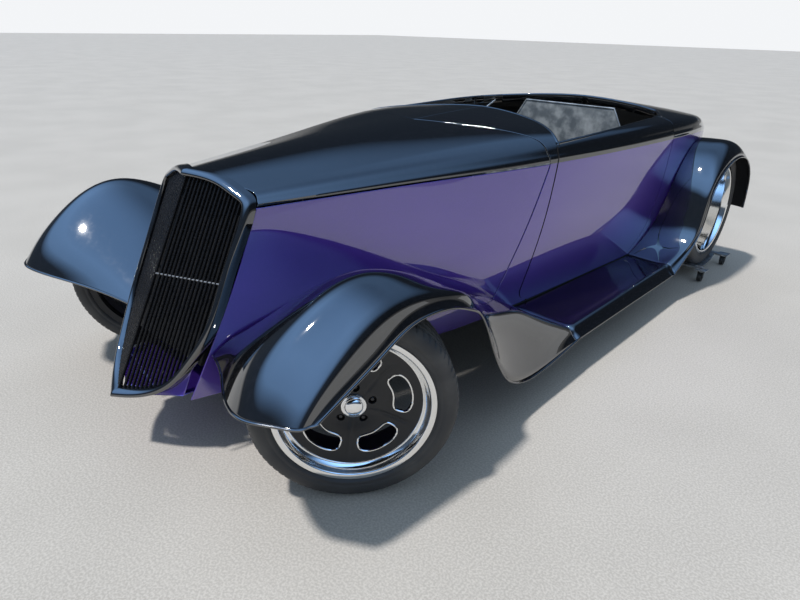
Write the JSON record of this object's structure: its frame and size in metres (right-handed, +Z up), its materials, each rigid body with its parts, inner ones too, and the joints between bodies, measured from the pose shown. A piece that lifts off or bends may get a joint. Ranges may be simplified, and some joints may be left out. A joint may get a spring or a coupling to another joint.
{
  "type": "street rod roadster",
  "caption": "Low open two-seat street rod with raked V grille, long hood, sweeping separate fenders, steered front wheels and deep-dish rear wheels resting on wheel dollies.",
  "frame": {"origin": "centre of the bounding box's underside, on the ground midway between nose and tail", "axes": "+Z up, +Y towards the tail so the car faces -Y, +X towards the car's left side"},
  "size_m": [1.8704, 3.8442, 0.9808],
  "materials": {
    "gloss_black": "gloss",
    "purple": "gloss",
    "satin_black": "satin",
    "polished": "polished",
    "tyre": "matte",
    "bare_steel": "satin",
    "galvanised": "satin",
    "caster_rubber": "matte",
    "cast_iron": "matte"
  },
  "bodies": {
    "car": {"bulkhead": "bare_steel", "cowl": "gloss_black", "dolly_castors_left": "caster_rubber", "dolly_castors_right": "caster_rubber", "dolly_left": "galvanised", "dolly_right": "galvanised", "engine_block": "cast_iron", "firewall": "satin_black", "floor": "satin_black", "frame": "satin_black", "front_fender_left": "gloss_black", "front_fender_right": "gloss_black", "front_suspension": "satin_black", "grille_bars": "satin_black", "grille_shell": "gloss_black", "hood_side_left": "purple", "hood_side_right": "purple", "radiator": "satin_black", "rear_axle": "satin_black", "rear_body": "gloss_black", "rear_fender_left": "gloss_black", "rear_fender_right": "gloss_black", "running_board_left": "gloss_black", "running_board_right": "gloss_black", "valance": "purple"},
    "hood": {"hood_top": "gloss_black"},
    "lid": {"deck_lid": "gloss_black"},
    "door_l": {"door_left": "purple"},
    "door_r": {"door_right": "purple"},
    "knuckle_l": {"upright_left": "satin_black"},
    "knuckle_r": {"upright_right": "satin_black"},
    "wheel_fl": {"front_rim_left": "satin_black", "front_tyre_left": "tyre"},
    "wheel_fr": {"front_rim_right": "satin_black", "front_tyre_right": "tyre"},
    "wheel_rl": {"rear_rim_left": "polished", "rear_tyre_left": "tyre"},
    "wheel_rr": {"rear_rim_right": "polished", "rear_tyre_right": "tyre"}
  },
  "joints": [
    {"name": "hood_hinge", "type": "hinge", "parent": "car", "child": "hood", "pos_m": [0, -0.28989, 0.936], "axis": [-1, 0, 0], "range_deg": [0, 50]},
    {"name": "lid_hinge", "type": "hinge", "parent": "car", "child": "lid", "pos_m": [0, 1.24911, 0.957], "axis": [1, 0, 0], "range_deg": [0, 60]},
    {"name": "door_left_hinge", "type": "hinge", "parent": "car", "child": "door_l", "pos_m": [0.689, 0.77111, 0.55], "axis": [0, 0, 1], "range_deg": [0, 62]},
    {"name": "door_right_hinge", "type": "hinge", "parent": "car", "child": "door_r", "pos_m": [-0.689, 0.77111, 0.55], "axis": [0, 0, -1], "range_deg": [0, 62]},
    {"name": "steer_left", "type": "hinge", "parent": "car", "child": "knuckle_l", "pos_m": [0.642, -1.43389, 0.314], "axis": [0, 0, 1], "range_deg": [0, 70]},
    {"name": "steer_right", "type": "hinge", "parent": "car", "child": "knuckle_r", "pos_m": [-0.642, -1.43389, 0.314], "axis": [0, 0, 1], "range_deg": [0, 70]},
    {"name": "spin_front_left", "type": "hinge", "parent": "knuckle_l", "child": "wheel_fl", "pos_m": [0.642, -1.43389, 0.314], "axis": [0.766, -0.6428, 0], "continuous": true},
    {"name": "spin_front_right", "type": "hinge", "parent": "knuckle_r", "child": "wheel_fr", "pos_m": [-0.642, -1.43389, 0.314], "axis": [0.766, -0.6428, 0], "continuous": true},
    {"name": "spin_rear_left", "type": "hinge", "parent": "car", "child": "wheel_rl", "pos_m": [0.675, 1.32712, 0.38], "axis": [1, 0, 0], "continuous": true},
    {"name": "spin_rear_right", "type": "hinge", "parent": "car", "child": "wheel_rr", "pos_m": [-0.675, 1.32712, 0.38], "axis": [1, 0, 0], "continuous": true}
  ],
  "couplings": [
    {"joint": "steer_right", "follows": "steer_left", "ratio": 1}
  ]
}
